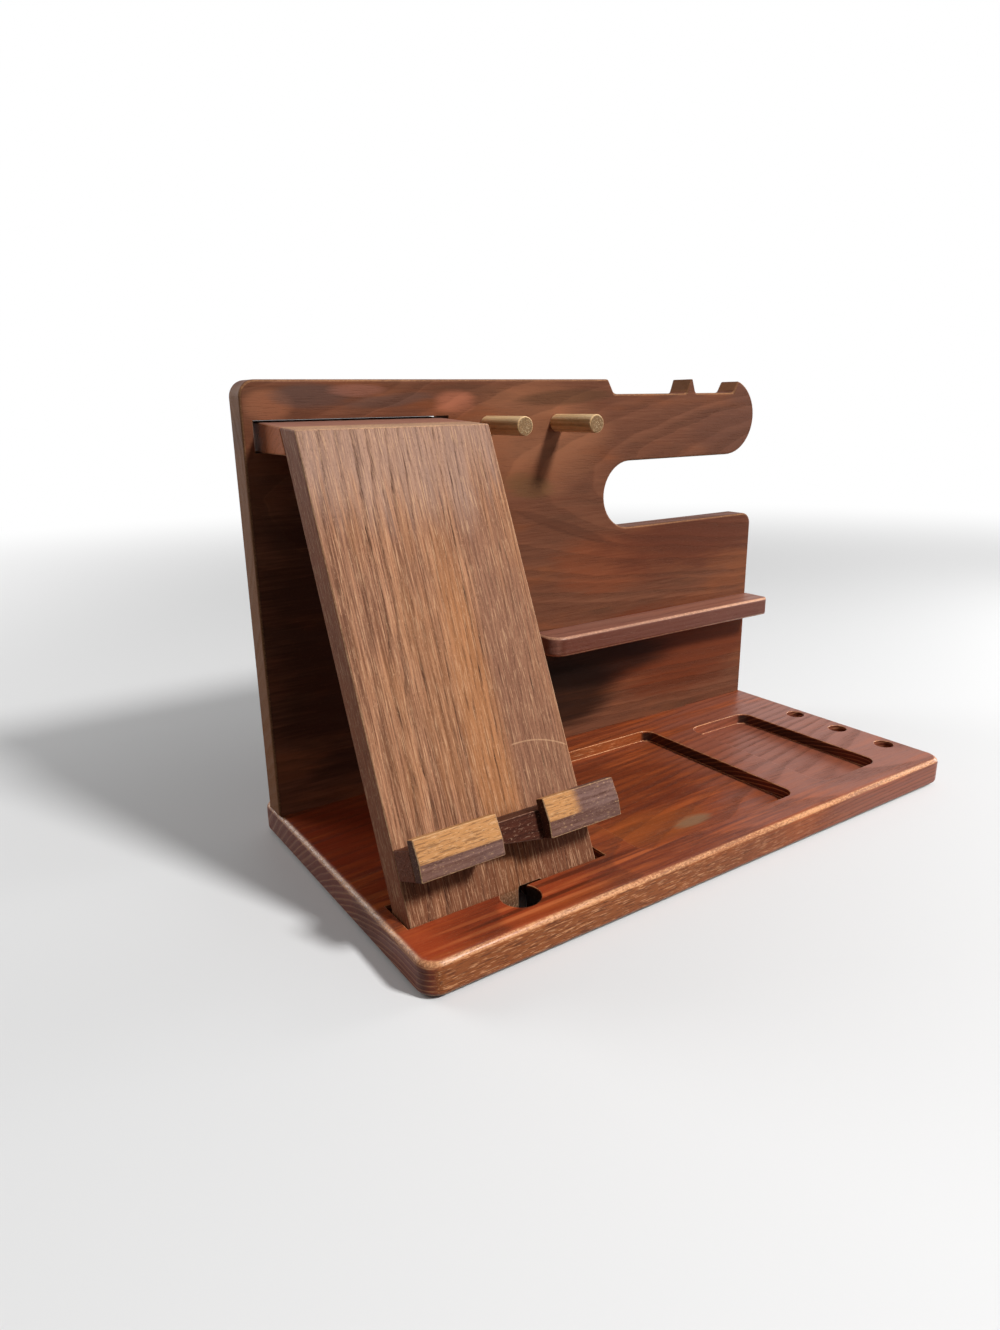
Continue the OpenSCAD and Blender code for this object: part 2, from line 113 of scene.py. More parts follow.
class Graph:
    """A node tree with one way to add any node."""

    def __init__(self, tree: bpy.types.NodeTree) -> None:
        """Take over a tree and empty it."""
        self.tree = tree
        self.tree.nodes.clear()

    def feed(self, socket: bpy.types.NodeSocket, value: Value) -> None:
        """Link a wire to a socket, or set the socket's value.

        Args:
            socket: The input socket.
            value: A wire, or a plain value.
        """
        if isinstance(value, Wire):
            self.tree.links.new(value.socket, socket)
        else:
            socket.default_value = value

    def node(self, kind: str, settings: dict[str, Any] | None = None,
             inputs: dict[str | int, Value] | None = None,
             output: str | int = 0) -> Wire | None:
        """Add a node.

        Args:
            kind: The node's type.
            settings: Its settings, set first.
            inputs: The values or wires of its sockets, by name or number.
            output: The output that is returned.

        Returns:
            The chosen output, or None for a node that has no output.
        """
        made = self.tree.nodes.new(kind)
        for name, value in (settings or {}).items():
            setattr(made, name, value)
        for name, value in (inputs or {}).items():
            self.feed(made.inputs[name], value)
        return Wire(self, made.outputs[output]) if made.outputs else None

    def maths(self, operation: str, *values: Value) -> Wire:
        """Add a Math node, or a Vector Math node where a vector takes part.

        Args:
            operation: What the node does.
            values: Its values or wires, in order.

        Returns:
            The node's output.
        """
        if not any(self.is_vector(value) for value in values):
            return self.node("ShaderNodeMath", {"operation": operation}, dict(enumerate(values)))
        sizes = [v if isinstance(v, (Wire, tuple)) else (v, v, v) for v in values]
        return self.node("ShaderNodeVectorMath", {"operation": operation}, dict(enumerate(sizes)))

    @staticmethod
    def is_vector(value: Value) -> bool:
        """Tell whether a value is a vector."""
        return value.socket.type == "VECTOR" if isinstance(value, Wire) else isinstance(value, tuple)

    def dot(self, vector: Wire, axis: Triple) -> Wire:
        """Project a vector onto an axis."""
        settings = {"operation": "DOT_PRODUCT"}
        return self.node("ShaderNodeVectorMath", settings, {0: vector, 1: axis}, "Value")

    def join(self, x: Value, y: Value, z: Value) -> Wire:
        """Make a vector of three values."""
        return self.node("ShaderNodeCombineXYZ", {}, {0: x, 1: y, 2: z})

    def step(self, value: Value, start: float, end: float, low: float = 0.0, high: float = 1.0) -> Wire:
        """Go smoothly from low to high while the value goes from start to end."""
        inputs = {"Value": value, "From Min": start, "From Max": end, "To Min": low, "To Max": high}
        return self.node("ShaderNodeMapRange", {"interpolation_type": "SMOOTHSTEP"}, inputs)

    def clamp(self, value: Value) -> Wire:
        """Keep a value between 0 and 1."""
        return self.node("ShaderNodeClamp", {}, {"Value": value})

    def noise(self, place: Wire, scale: float = 1.0, detail: float = 2.0, rough: float = 0.5,
              twist: float = 0.0) -> Wire:
        """Smooth noise from 0 to 1 at a place."""
        inputs = {"Vector": place, "Scale": scale, "Detail": detail, "Roughness": rough,
                  "Distortion": twist}
        return self.node("ShaderNodeTexNoise", {"noise_dimensions": "3D"}, inputs)

    def line_noise(self, place: Wire, detail: float) -> Wire:
        """Smooth noise from 0 to 1 along a line."""
        inputs = {"W": place, "Scale": 1.0, "Detail": detail}
        return self.node("ShaderNodeTexNoise", {"noise_dimensions": "1D"}, inputs)

    def chance(self, number: Wire) -> Wire:
        """Give each whole number its own share from 0 to 1."""
        return self.node("ShaderNodeTexWhiteNoise", {"noise_dimensions": "1D"}, {"W": number}, "Value")

    def blend(self, share: Value, first: Wire | Colour, second: Wire | Colour) -> Wire:
        """Mix two colours."""
        settings = {"data_type": "RGBA", "blend_type": "MIX", "clamp_factor": True}
        return self.node("ShaderNodeMix", settings, {0: share, 6: first, 7: second}, 2)


@dataclass(frozen=True)
class Stain:
    """Colours of one stained wood."""

    pale: Colour
    deep: Colour
    pore: Colour
    warm: Colour
    cool: Colour
    worn_and_glint: Colour


@dataclass(frozen=True)
class Cut:
    """How a board was cut from its log, in millimetres along the board's own axes.

    The ring count at a radius r is r * (1 + crowd * r) / ring, so that rings may grow wider or narrower
    outward.
    """

    grain: Triple
    across: Triple
    depth: Triple
    heart: tuple[float, float]
    drift: tuple[float, float] = (0.0, 0.0)
    ring: float = 2.4
    crowd: float = 0.0
    uneven: float = 1.3
    wave: float = 2.0
    ripple: float = 0.45
    flame: tuple[float, float] = (70.0, 16.0)
    dash: float = 7.0
    seed: float = 0.0


@dataclass(frozen=True)
class Character:
    """How strongly a finish shows each trait of its wood."""

    early: float = 0.8
    fade: tuple[float, float] = (0.16, 0.72)
    pores: float = 0.6
    fibre: float = 0.6
    fine: float = 0.3
    glint: float = 0.0
    warm: float = 0.5
    cool: float = 0.5
    speckle: float = 0.3
    edge_wear_and_highlight: float = 0.5
    end_deep: float = 0.35
    end_line: float = 0.0
    broken: float = 0.0
    rough: float = 0.45
    shine: float = 0.2
    bend: float = 1.28
    relief: float = 1.0


@dataclass(frozen=True)
class Levels:
    """Where each noise, ring or direction begins to show, and where it shows in full."""

    crack: tuple[float, float] = (0.52, 0.63)
    glint: tuple[float, float] = (0.54, 0.68)
    warm: tuple[float, float] = (0.48, 0.66)
    cool: tuple[float, float] = (0.50, 0.68)
    pale_dots: tuple[float, float] = (0.56, 0.74)
    dark_dots: tuple[float, float] = (0.44, 0.28)
    gaps: tuple[float, float] = (0.62, 0.40)
    rub_and_highlight: tuple[float, float] = (0.70, 0.95)
    ring_start: tuple[float, float] = (0.0, 0.10)
    line_start: tuple[float, float] = (0.66, 0.80)
    line_end: tuple[float, float] = (0.98, 0.88)
    rim_start: tuple[float, float] = (0.30, 0.52)
    rim_end: tuple[float, float] = (0.96, 0.84)
    end_grain: tuple[float, float] = (0.25, 0.75)


@dataclass(frozen=True)
class Noise:
    """A noise on the board: its scales for a millimetre, and the axis along which the seed moves it."""

    scales: Triple
    moved: int
    detail: float = 2.0
    rough: float = 0.5


@dataclass(frozen=True)
class Tint:
    """A patch of another colour that fades out all round, in millimetres along and across the grain; some
    are painted shade or sheen.
    """

    colour: Colour
    place: tuple[float, float]
    reach: tuple[float, float]
    share: float = 0.7
    lean: float = 0.0
    ragged: float = 0.8
    span: tuple[float, float] = (-1000.0, 1000.0)
    fade: tuple[float, float] = (1.2, 0.2)
    soft: float = 0.3


@dataclass(frozen=True)
class Facet:
    """A face of another colour: the surfaces that look a given way, within a range to the right; often
    painted light or shade on one side.
    """

    colour: Colour
    toward: Triple
    start: float = 0.80
    end: float = 0.97
    right_of: float = -1000.0
    left_of: float = 1000.0
    soft: float = 1.0
    share: float = 0.9
    cracks: float = 0.0
    wander: float = 7.0


@dataclass(frozen=True)
class Scratch:
    """A fine pale arc: its circle and the part of it that shows, in millimetres on the board."""

    centre: tuple[float, float]
    radius: float
    across: tuple[float, float]
    width: float = 0.45
    share: float = 0.6


@dataclass(frozen=True)
class WoodFinish:
    """A procedural material for one board; painted shades are dark tints for shade in hollows and under
    things, laid over everything else.
    """

    name: str
    cut: Cut
    stain: Stain
    character: Character = field(default_factory=Character)
    tints: tuple[Tint, ...] = ()
    facets: tuple[Facet, ...] = ()
    scratches: tuple[Scratch, ...] = ()
    painted_shades: tuple[Tint, ...] = ()
    levels: Levels = Levels()

    def build(self) -> bpy.types.Material:
        """Build the material.

        Returns:
            The material, ready to be given to a piece.
        """
        material = bpy.data.materials.new(self.name)
        material.use_nodes = True
        graph = Graph(material.node_tree)
        marks = self._marks(graph)
        colour = self._colour(graph, marks)
        rough = graph.clamp(self.character.rough + marks["early"] * 0.10 + marks["pores"] * 0.15
                            - marks["edge_rub_and_highlight"] * 0.08 + (marks["fibre"] - 0.5) * 0.12)
        height = (marks["fibre"] - 0.5) * 0.5 - marks["early"] * 0.45 - marks["pores"] * 0.8
        relief = graph.node("ShaderNodeBump", {}, {"Strength": PORE_STRENGTH * self.character.relief,
                                                   "Distance": PORE_DEPTH, "Height": height})
        shader = graph.node("ShaderNodeBsdfPrincipled", {}, {
            "Base Color": colour, "Roughness": rough, "Normal": relief, "IOR": self.character.bend,
            "Specular IOR Level": self.character.shine})
        graph.node("ShaderNodeOutputMaterial", {}, {"Surface": shader})
        return material

    def _marks(self, graph: Graph) -> dict[str, Wire]:
        """Work out the wood's own marks at each point of the board.

        Args:
            graph: The material's nodes.

        Returns:
            The marks by name: shares from 0 to 1, and the point's places in millimetres.
        """
        cut = self.cut
        place = graph.node("ShaderNodeTexCoord", {}, {}, "Object") * (1 / MM)
        point = tuple(graph.dot(place, axis) for axis in (cut.grain, cut.across, cut.depth))
        noise = {name: self._noise(graph, point, kind) for name, kind in self._noises().items()}
        rings = self._rings(graph, point, noise)
        cracks = graph.step(noise["crack"], *self.levels.crack)
        return {**noise, **rings, **self._looks(graph, place), "cracks": cracks,
                "pores": cracks * (rings["early"] * 0.8 + 0.2),
                "glint": graph.step(noise["ridge"], *self.levels.glint),
                "along": point[0], "side": point[1], "into": point[2]}

    def _noises(self) -> dict[str, Noise]:
        """List the noises that the marks are made of.

        Returns:
            The noises by name.
        """
        dash, (long, wide) = self.cut.dash, self.cut.flame
        return {"slow": Noise((1 / 70, 1 / 26, 1 / 26), 0),
                "quick": Noise((1 / 9, 1 / 5, 1 / 5), 0),
                "gaps": Noise((1 / 14, 0.7, 0.7), 2, 3.0, 0.7),
                "fibre": Noise((0.25 / dash, 0.9, 0.9), 0, 4.0, 0.65),
                "fine": Noise((0.6 / dash, 2.1, 2.1), 0, 2.0, 0.6),
                "crack": Noise((1 / dash, 1.8, 1.8), 2, 2.0, 0.6),
                "ridge": Noise((1.6 / dash, 2.1, 2.1), 1, 2.0, 0.6),
                "dots": Noise((0.7, 1.6, 1.6), 2, 3.0, 0.75),
                "patch": Noise((1 / long, 1 / wide, 1 / 22), 0, 3.0, 0.6),
                "other": Noise((1.25 / long, 1 / (0.7 * wide), 1 / 18), 1, 3.0, 0.6)}

    def _noise(self, graph: Graph, point: tuple[Wire, ...], kind: Noise) -> Wire:
        """Make one of the noises at a point.

        Args:
            graph: The material's nodes.
            point: The place along, across and into the board.
            kind: The noise.

        Returns:
            The noise, from 0 to 1.
        """
        parts = [axis * scale for axis, scale in zip(point, kind.scales)]
        parts[kind.moved] = parts[kind.moved] + self.cut.seed
        return graph.noise(graph.join(*parts), detail=kind.detail, rough=kind.rough)

    def _rings(self, graph: Graph, point: tuple[Wire, ...], noise: dict[str, Wire]) -> dict[str, Wire]:
        """Work out the year rings from the distance to the log's heart.

        Args:
            graph: The material's nodes.
            point: The place along, across and into the board.
            noise: The noises by name.

        Returns:
            The early wood, the pale line before the next ring, and each ring's own share.
        """
        cut, trait, levels = self.cut, self.character, self.levels
        along, side, into = point
        across = side - cut.heart[0] - along * cut.drift[0]
        depth = into - cut.heart[1] - along * cut.drift[1]
        bend = (noise["slow"] - 0.5) * (2 * cut.wave) + (noise["quick"] - 0.5) * (cut.ripple * cut.wave)
        radius = (across * across + depth * depth) ** 0.5 + bend
        uneven = graph.line_noise(radius / (2.3 * cut.ring) + cut.seed, 1.0)
        count = radius * (radius * cut.crowd + 1.0) / cut.ring + (uneven - 0.5) * cut.uneven
        share = graph.maths("FRACT", count)
        ring = graph.chance(graph.maths("FLOOR", count) + cut.seed)
        early = graph.step(share, *levels.ring_start) * graph.step(share, *trait.fade, 1.0, 0.0)
        early = early * (ring * 0.65 + 0.35)
        early = early * (1.0 - graph.step(noise["gaps"], *levels.gaps) * trait.broken)
        line = graph.step(share, *levels.line_start) * graph.step(share, *levels.line_end)
        line = line * (ring * 0.6 + 0.4)
        return {"early": early, "line": line, "ring": ring}

    def _looks(self, graph: Graph, place: Wire) -> dict[str, Wire]:
        """Mark the softened edges, with their rubbed wear and painted highlight, and the end grain by the
        way that the surface looks.

        Args:
            graph: The material's nodes.
            place: The point in millimetres.

        Returns:
            The rubbed edges with their painted highlight, the end grain, the surface's normal and the
            place to the right.
        """
        normal = graph.node("ShaderNodeTexCoord", {}, {}, "Normal")
        sides = [graph.maths("ABSOLUTE", graph.dot(normal, axis))
                 for axis in (self.cut.grain, self.cut.across, self.cut.depth)]
        levels = self.levels
        # Edges between flat and upright: rubbed wear and a painted highlight, paler where a rounded edge
        # catches light.
        rim = graph.step(sides[2], *levels.rim_start) * graph.step(sides[2], *levels.rim_end)
        return {"edge_rub_and_highlight": rim, "end": graph.step(sides[0], *levels.end_grain), "normal": normal,
                "right": graph.dot(place, Side.RIGHT.value)}

    def _colour(self, graph: Graph, marks: dict[str, Wire]) -> Wire:
        """Mix the stain's colours by the marks.

        Args:
            graph: The material's nodes.
            marks: The marks by name.

        Returns:
            The colour at each point.
        """
        stain, trait, levels = self.stain, self.character, self.levels
        tone = (marks["fibre"] - 0.5) * (4 * trait.fibre) + (marks["fine"] - 0.5) * (4 * trait.fine) + 0.5
        tone = tone + (marks["ring"] - 0.5) * 0.3
        body = graph.blend(graph.clamp(tone), stain.deep, stain.pale)
        body = graph.blend(graph.step(marks["patch"], *levels.warm) * trait.warm, body, stain.warm)
        body = graph.blend(graph.step(marks["other"], *levels.cool) * trait.cool, body, stain.cool)
        for tint in self.tints:
            body = graph.blend(self._patch(graph, marks, tint), body, tint.colour)
        body = graph.blend(marks["end"] * trait.end_deep, body, stain.deep)
        body = graph.blend(marks["early"] * trait.early, body, stain.pore)
        body = graph.blend(marks["end"] * marks["line"] * trait.end_line, body, stain.worn_and_glint)
        pores, glint = marks["pores"] * trait.pores, marks["glint"] * trait.glint
        for facet in self.facets:
            shows = self._face(graph, marks, facet)
            body = graph.blend(shows, body, facet.colour)
            pores = graph.maths("MAXIMUM", pores, shows * marks["cracks"] * facet.cracks)
            glint = graph.maths("MAXIMUM", glint, shows * marks["glint"] * facet.cracks)
        # Painted glints: pale dashes for light caught in the open pores.
        body = graph.blend(glint, body, stain.worn_and_glint)
        body = graph.blend(pores, body, stain.pore)
        # Pale dots are painted glints; dark dots are pores.
        body = graph.blend(graph.step(marks["dots"], *levels.pale_dots) * trait.speckle, body, stain.worn_and_glint)
        body = graph.blend(graph.step(marks["dots"], *levels.dark_dots) * trait.speckle, body, stain.pore)
        for scratch in self.scratches:
            body = graph.blend(self._arc(graph, marks, scratch), body, stain.worn_and_glint)
        # Paler rounded edges: partly rubbed wear, partly a painted highlight along them.
        rub_and_highlight = graph.step(marks["dots"] + marks["patch"] * 0.6, *levels.rub_and_highlight, 0.35, 1.0)
        body = graph.blend(rub_and_highlight * marks["edge_rub_and_highlight"] * trait.edge_wear_and_highlight, body, stain.worn_and_glint)
        # Painted shade: near-black patches in hollows and under things.
        for painted_shade in self.painted_shades:
            body = graph.blend(self._patch(graph, marks, painted_shade), body, painted_shade.colour)
        return body

    @staticmethod
    def _patch(graph: Graph, marks: dict[str, Wire], tint: Tint) -> Wire:
        """Work out the share of a tint at each point.

        Args:
            graph: The material's nodes.
            marks: The marks by name.
            tint: The tint.

        Returns:
            The share.
        """
        away = marks["along"] - tint.place[0]
        off = (marks["side"] - tint.place[1] - away * tint.lean) / tint.reach[1]
        away = away / tint.reach[0]
        ragged = (marks["patch"] - 0.5) * (2.5 * tint.ragged) + (marks["fibre"] - 0.5) * tint.ragged
        shows = graph.step(away * away + off * off + ragged, *tint.fade) * tint.share
        (low, high), soft = tint.span, tint.soft
        shows = shows * graph.step(marks["into"], low - soft, low + soft)
        return shows * graph.step(marks["into"], high + soft, high - soft)

    @staticmethod
    def _face(graph: Graph, marks: dict[str, Wire], facet: Facet) -> Wire:
        """Work out the share of a face's own colour at each point.

        Args:
            graph: The material's nodes.
            marks: The marks by name.
            facet: The face.

        Returns:
            The share.
        """
        looks = graph.step(graph.dot(marks["normal"], facet.toward), facet.start, facet.end)
        ragged = marks["right"] + (marks["dots"] - 0.5) * facet.wander
        inside = graph.step(ragged, facet.right_of - facet.soft, facet.right_of + facet.soft)
        inside = inside * graph.step(ragged, facet.left_of + facet.soft, facet.left_of - facet.soft)
        return looks * inside * (marks["fibre"] * 0.5 + 0.62) * facet.share

    @staticmethod
    def _arc(graph: Graph, marks: dict[str, Wire], scratch: Scratch) -> Wire:
        """Work out the share of a scratch at each point.

        Args:
            graph: The material's nodes.
            marks: The marks by name.
            scratch: The scratch.

        Returns:
            The share.
        """
        away = marks["along"] - scratch.centre[0]
        off = marks["side"] - scratch.centre[1]
        miss = graph.maths("ABSOLUTE", (away * away + off * off) ** 0.5 - scratch.radius)
        (first, last), fade = scratch.across, 2.0
        shows = graph.step(away, 0.0, 1.0) * graph.step(marks["side"], first, first + fade)
        shows = shows * graph.step(marks["side"], last, last - fade)
        return graph.step(miss, scratch.width, 0.0) * shows * (marks["dots"] + 0.3) * scratch.share


@dataclass(frozen=True)
class FeltFinish:
    """Pressed felt of the pads."""

    name: str = "pressed_felt"
    dark: Colour = linear(58, 52, 50)
    pale: Colour = linear(96, 90, 86)
    hair_scale: float = 2600.0
    nap: float = 0.2 * MM
    rough: float = 0.95
    sheen: float = 0.3

    def build(self) -> bpy.types.Material:
        """Build the material.

        Returns:
            The material.
        """
        material = bpy.data.materials.new(self.name)
        material.use_nodes = True
        graph = Graph(material.node_tree)
        place = graph.node("ShaderNodeTexCoord", {}, {}, "Object")
        hairs = graph.noise(place, self.hair_scale, detail=4.0, rough=0.7, twist=1.5)
        colour = graph.blend(hairs, self.dark, self.pale)
        relief = graph.node("ShaderNodeBump", {}, {"Strength": 0.6, "Distance": self.nap, "Height": hairs})
        shader = graph.node("ShaderNodeBsdfPrincipled", {}, {
            "Base Color": colour, "Roughness": self.rough, "Normal": relief, "Sheen Weight": self.sheen})
        graph.node("ShaderNodeOutputMaterial", {}, {"Surface": shader})
        return material


EdgeRule = Callable[[Vector, Vector], float]


@dataclass
class Softener:
    """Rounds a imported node's sharp edges by modifiers, so that its own mesh stays as it is."""

    width: float
    rule: EdgeRule = field(default=lambda start, end: 1.0)
    segments: int = 3
    sharp: float = math.radians(25)
    face_weight: int = 80

    def apply(self, piece: bpy.types.Object) -> None:
        """Mark the node's edges by the rule and add the modifiers.

        Args:
            piece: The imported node.
        """
        shares = self._shares(piece.data)
        layer = piece.data.attributes.new("bevel_weight_edge", "FLOAT", "EDGE")
        points = [self._key(v.co) for v in piece.data.vertices]
        values = [shares.get(frozenset((points[e.vertices[0]], points[e.vertices[1]])), 0.0)
                  for e in piece.data.edges]
        layer.data.foreach_set("value", values)
        weld = piece.modifiers.new("Weld", "WELD")
        weld.merge_threshold = WELD_REACH
        bevel = piece.modifiers.new("Soft edges", "BEVEL")
        bevel.limit_method = "WEIGHT"
        bevel.width = self.width
        bevel.segments = self.segments
        bevel.use_clamp_overlap = False
        bevel.loop_slide = False
        bevel.face_strength_mode = "FSTR_AFFECTED"
        even = piece.modifiers.new("Even shading", "WEIGHTED_NORMAL")
        even.weight = self.face_weight
        even.keep_sharp = False
        even.use_face_influence = True

    def _shares(self, mesh: bpy.types.Mesh) -> dict[frozenset, float]:
        """Give each sharp edge, by its two ends, its share of the width.

        Args:
            mesh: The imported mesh, which stays as it is.

        Returns:
            The shares by pairs of named points.
        """
        joined = bmesh.new()
        joined.from_mesh(mesh)
        bmesh.ops.remove_doubles(joined, verts=joined.verts, dist=WELD_REACH)
        found = {}
        for edge in joined.edges:
            if len(edge.link_faces) == 2 and edge.calc_face_angle() > self.sharp:
                ends = [v.co for v in edge.verts]
                found[frozenset(self._key(c) for c in ends)] = self.rule(*ends)
        joined.free()
        return found

    @staticmethod
    def _key(point: Vector) -> tuple[int, int, int]:
        """Name a point by its place in hundredths of a millimetre."""
        return tuple(round(c / SAME_PLACE) for c in point)


class Side(Enum):
    """A direction on the organizer."""

    RIGHT = (1.0, 0.0, 0.0)
    LEFT = (-1.0, 0.0, 0.0)
    BACK = (0.0, 1.0, 0.0)
    FRONT = (0.0, -1.0, 0.0)
    UP = (0.0, 0.0, 1.0)


class Part(ABC):
    """One group of pieces with its edges and finishes."""

    @abstractmethod
    def dress(self, nodes: Nodes) -> list[bpy.types.Object]:
        """Soften the group's pieces and give them their finishes.

        Args:
            nodes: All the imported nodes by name.

        Returns:
            The pieces that were dressed.
        """

    @staticmethod
    def finished(piece: bpy.types.Object, softener: Softener, finish: WoodFinish) -> bpy.types.Object:
        """Soften a board's edges and give it its finish.

        Args:
            piece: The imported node.
            softener: How its edges are rounded.
            finish: Its finish.

        Returns:
            The piece.
        """
        softener.apply(piece)
        give(piece, finish.build())
        return piece


@dataclass
class BaseBoard(Part):
    """Base with its trays, small holes and slot."""

    node: str = "base_board"
    rim: float = 0.45 * MM
    finish: WoodFinish = WoodFinish(
        "base_ash",
        Cut(Side.RIGHT.value, Side.BACK.value, Side.UP.value, heart=(-60.0, -110.0), drift=(0.05, 0.04),
            ring=0.95, crowd=-0.0022, uneven=0.5, wave=1.2, ripple=0.3, flame=(60.0, 5.0), seed=3.1),
        Stain(pale=linear(160, 80, 42), deep=linear(110, 44, 22), pore=linear(62, 26, 14),
              warm=linear(178, 88, 40), cool=linear(94, 42, 28), worn_and_glint=linear(240, 176, 124)),
        Character(early=0.45, pores=0.4, fibre=0.6, fine=0.2, warm=0.6, cool=0.6, speckle=0.12, edge_wear_and_highlight=0.8,
                  end_deep=0.45, end_line=0.7, rough=0.34, shine=0.5, bend=1.34),
        (Tint(linear(170, 66, 34), (-115.0, -62.0), (60.0, 14.0), 0.6),
         Tint(linear(140, 46, 22), (-110.0, 10.0), (60.0, 50.0), 0.7),
         # Painted sheen: a paler pinkish patch over the right end of the top.
         Tint(linear(150, 92, 74), (110.0, -20.0), (80.0, 90.0), 0.6),
         Tint(linear(104, 44, 22), (-4.0, -4.0), (48.0, 34.0), 0.6),
         Tint(linear(156, 82, 34), (-15.0, -38.0), (30.0, 14.0), 0.5),
         # Painted highlight: a small pale grey-olive patch on the left tray's floor near its front.
         Tint(linear(134, 104, 76), (4.0, -44.0), (12.0, 4.0), 0.8),
         Tint(linear(206, 62, 40), (-134.5, -46.0), (5.0, 4.0), 0.8),
         Tint(linear(206, 112, 64), (-96.0, -68.0), (46.0, 1.3), 0.75, ragged=0.5),
         Tint(linear(86, 34, 16), (-88.0, -64.5), (40.0, 1.2), 0.8, 0.02, 0.5),
         Tint(linear(200, 104, 58), (-104.0, -61.5), (34.0, 1.1), 0.7, -0.02, 0.5),
         Tint(linear(84, 32, 16), (-70.0, -56.0), (40.0, 1.4), 0.75, 0.0, 0.5),
         Tint(linear(196, 102, 54), (-52.0, -60.0), (34.0, 1.2), 0.7, 0.02, 0.5)),
        (Facet(linear(152, 86, 42), Side.FRONT.value, left_of=20.0, soft=90.0, cracks=0.8),
         # Painted shade: the left end set darker and warmer for the light that falls on it.
         Facet(linear(98, 40, 20), Side.LEFT.value, 0.6, 0.9, left_of=-140.0, share=0.55)),
        # Painted shade: near-black inside the slot and cable hole and on the trays' right-hand walls.
        painted_shades=(Tint(linear(14, 7, 5), (-92.0, -50.0), (14.0, 20.0), 0.97, 0.0, 0.0, (1.3, 13.2)),
                Tint(linear(14, 7, 5), (-98.0, -30.0), (50.0, 24.0), 0.95, 0.0, 0.0, (1.3, 13.2)),
                Tint(linear(24, 11, 8), (50.5, 6.0), (3.0, 64.0), 0.9, 0.0, 0.0, (9.0, 13.2)),
                Tint(linear(24, 11, 8), (111.5, -4.0), (3.0, 56.0), 0.9, 0.0, 0.0, (9.0, 13.2))))

    def dress(self, nodes: Nodes) -> list[bpy.types.Object]:
        """Soften the rims and give the board its finish."""
        return [self.finished(nodes[self.node], Softener(self.rim), self.finish)]


